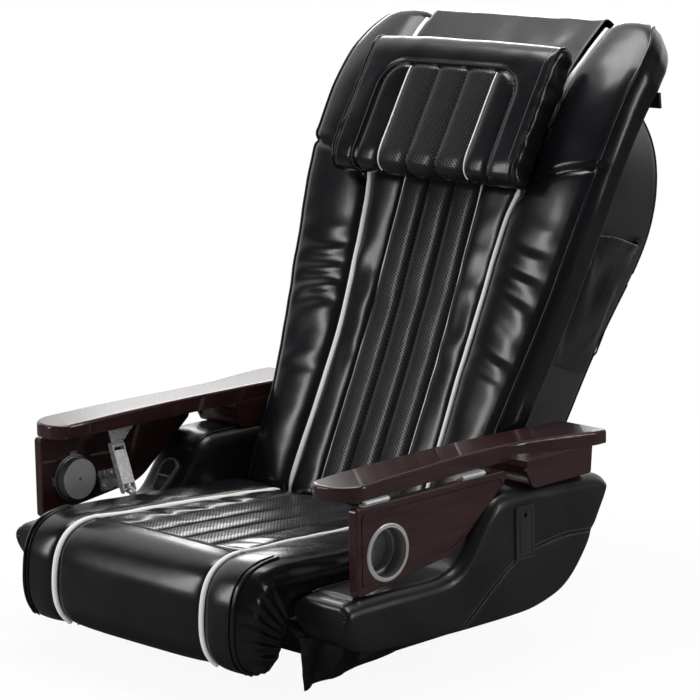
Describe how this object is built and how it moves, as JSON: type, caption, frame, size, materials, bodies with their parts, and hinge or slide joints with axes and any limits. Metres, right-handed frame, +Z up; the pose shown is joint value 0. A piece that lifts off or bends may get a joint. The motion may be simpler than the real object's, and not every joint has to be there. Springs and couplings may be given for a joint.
{
  "type": "pedicure spa chair",
  "caption": "Reclining massage chair top with waterfall seat, sliding base, lift-up arms with folding trays and cup rings, and a padded back with headrest pillow.",
  "frame": {"origin": "centre of the bolt pattern, on the underside of the base frame", "axes": "+Z up; the sitter faces -Y; +X is the sitter's left"},
  "size_m": [0.784, 1.0483, 0.9669],
  "materials": {
    "black_leather": "gloss",
    "charcoal_leather": "satin",
    "dark_wood": "gloss",
    "plywood": "matte",
    "black_steel": "satin",
    "bright_steel": "satin",
    "spun_steel": "satin",
    "chrome": "gloss",
    "black_plastic": "matte",
    "grey_plastic": "matte",
    "black_rubber": "matte"
  },
  "bodies": {
    "base": {"base_frame": "black_steel", "cable_gland": "black_plastic", "control_box": "grey_plastic", "slide_tracks": "bright_steel", "slide_actuator": "black_steel"},
    "seat": {"slide_runners": "bright_steel", "slide_rod": "bright_steel", "seat_frame": "black_steel", "seat_pan": "plywood", "seat_cushion": "black_leather", "hinge_pins": "bright_steel", "arm_pivot_pins": "bright_steel", "arm_bumpers": "black_rubber", "side_panel_left": "charcoal_leather", "side_panel_right": "charcoal_leather", "side_skirt_left": "black_leather", "side_skirt_right": "black_leather", "arm_bracket_left": "black_steel", "arm_bracket_right": "black_steel", "door_liner": "black_plastic", "control_pod": "chrome", "actuator_pin": "bright_steel"},
    "back": {"back_frame": "black_steel", "back_cushion": "black_leather", "shell_surround": "charcoal_leather", "shell_cover": "charcoal_leather", "pillow_flap": "black_leather", "side_pouch": "charcoal_leather", "strap_buckle": "black_plastic", "massage_rails": "bright_steel", "massage_motor": "black_steel"},
    "pillow": {"headrest_pillow": "black_leather"},
    "actuator": {"recline_actuator": "black_steel"},
    "actuator_rod": {"recline_rod": "bright_steel"},
    "carriage": {"massage_carriage": "grey_plastic"},
    "screw": {"lead_screw": "bright_steel"},
    "rollers_lower": {"massage_rollers_lower": "grey_plastic"},
    "rollers_upper": {"massage_rollers_upper": "grey_plastic"},
    "door": {"access_door": "black_plastic"},
    "paddle": {"control_paddle": "black_plastic"},
    "arm_left": {"armrest_board_left": "dark_wood", "arm_block_left": "dark_wood", "stay_bracket_left": "bright_steel", "tray_hinge_fixed_left": "bright_steel"},
    "tray_left": {"manicure_tray_left": "dark_wood", "cup_holder_left": "spun_steel", "stay_plate_left": "bright_steel", "tray_hinge_moving_left": "bright_steel"},
    "stay_upper_left": {"stay_upper_link_left": "bright_steel"},
    "stay_lower_left": {"stay_lower_link_left": "bright_steel"},
    "arm_right": {"armrest_board_right": "dark_wood", "arm_block_right": "dark_wood", "stay_bracket_right": "bright_steel", "tray_hinge_fixed_right": "bright_steel"},
    "tray_right": {"manicure_tray_right": "dark_wood", "cup_holder_right": "spun_steel", "stay_plate_right": "bright_steel", "tray_hinge_moving_right": "bright_steel"},
    "stay_upper_right": {"stay_upper_link_right": "bright_steel"},
    "stay_lower_right": {"stay_lower_link_right": "bright_steel"}
  },
  "joints": [
    {"name": "seat_slide", "type": "slide", "parent": "base", "child": "seat", "axis": [0, -1, 0], "range_m": [-0.05, 0.09]},
    {"name": "back_recline", "type": "hinge", "parent": "seat", "child": "back", "pos_m": [0, 0.033, 0.132], "axis": [-1, 0, 0], "range_deg": [-8, 25]},
    {"name": "actuator_swing", "type": "hinge", "parent": "seat", "child": "actuator", "pos_m": [0, -0.225, 0.1], "axis": [1, 0, 0], "range_deg": [-3, 3]},
    {"name": "actuator_stroke", "type": "slide", "parent": "actuator", "child": "actuator_rod", "axis": [0, 0.9965, -0.0833], "range_m": [-0.026, 0.01]},
    {"name": "arm_lift_left", "type": "hinge", "parent": "seat", "child": "arm_left", "pos_m": [0.334, 0.173, 0.291], "axis": [-1, 0, 0], "range_deg": [0, 55]},
    {"name": "tray_swing_left", "type": "hinge", "parent": "arm_left", "child": "tray_left", "pos_m": [0.371, -0.185, 0.3095], "axis": [0, -1, 0], "range_deg": [0, 90]},
    {"name": "stay_upper_swing_left", "type": "hinge", "parent": "arm_left", "child": "stay_upper_left", "pos_m": [0.318, -0.207, 0.277], "axis": [0, -1, 0], "range_deg": [0, 98]},
    {"name": "stay_lower_swing_left", "type": "hinge", "parent": "tray_left", "child": "stay_lower_left", "pos_m": [0.349, -0.207, 0.223], "axis": [0, -1, 0], "range_deg": [-84, 0]},
    {"name": "arm_lift_right", "type": "hinge", "parent": "seat", "child": "arm_right", "pos_m": [-0.334, 0.173, 0.291], "axis": [-1, 0, 0], "range_deg": [0, 55]},
    {"name": "tray_swing_right", "type": "hinge", "parent": "arm_right", "child": "tray_right", "pos_m": [-0.371, -0.185, 0.3095], "axis": [0, 1, 0], "range_deg": [0, 90]},
    {"name": "stay_upper_swing_right", "type": "hinge", "parent": "arm_right", "child": "stay_upper_right", "pos_m": [-0.318, -0.207, 0.277], "axis": [0, 1, 0], "range_deg": [0, 98]},
    {"name": "stay_lower_swing_right", "type": "hinge", "parent": "tray_right", "child": "stay_lower_right", "pos_m": [-0.349, -0.207, 0.223], "axis": [0, 1, 0], "range_deg": [-84, 0]},
    {"name": "door_swing", "type": "hinge", "parent": "seat", "child": "door", "pos_m": [0.38625, 0.022, 0.1671], "axis": [0, 1, 0], "range_deg": [0, 95]},
    {"name": "paddle_rock", "type": "hinge", "parent": "seat", "child": "paddle", "pos_m": [-0.3305, -0.09082, 0.2018], "axis": [1, 0, 0], "range_deg": [-6, 6], "stiffness_Nm_per_rad": 0.6},
    {"name": "pillow_shift", "type": "slide", "parent": "back", "child": "pillow", "axis": [0, 0.5066, 0.8622], "range_m": [-0.04, 0.025]},
    {"name": "carriage_travel", "type": "slide", "parent": "back", "child": "carriage", "axis": [0, 0.3988, 0.917], "range_m": [-0.16, 0.17]},
    {"name": "screw_spin", "type": "hinge", "parent": "back", "child": "screw", "pos_m": [0, 0.30153, 0.46126], "axis": [0, 0.3988, 0.917], "continuous": true},
    {"name": "roller_spin_lower", "type": "hinge", "parent": "carriage", "child": "rollers_lower", "pos_m": [0, 0.25061, 0.44196], "axis": [1, 0, 0], "continuous": true},
    {"name": "roller_spin_upper", "type": "hinge", "parent": "carriage", "child": "rollers_upper", "pos_m": [0, 0.28092, 0.51166], "axis": [1, 0, 0], "continuous": true}
  ],
  "couplings": [
    {"joint": "actuator_swing", "follows": "back_recline", "ratio": -0.051},
    {"joint": "actuator_stroke", "follows": "back_recline", "m_per_rad": -0.0555},
    {"joint": "screw_spin", "follows": "carriage_travel", "rad_per_m": 785.4},
    {"joint": "stay_upper_swing_left", "follows": "tray_swing_left", "ratio": 1.08},
    {"joint": "stay_lower_swing_left", "follows": "tray_swing_left", "ratio": -0.92},
    {"joint": "stay_upper_swing_right", "follows": "tray_swing_right", "ratio": 1.08},
    {"joint": "stay_lower_swing_right", "follows": "tray_swing_right", "ratio": -0.92}
  ]
}
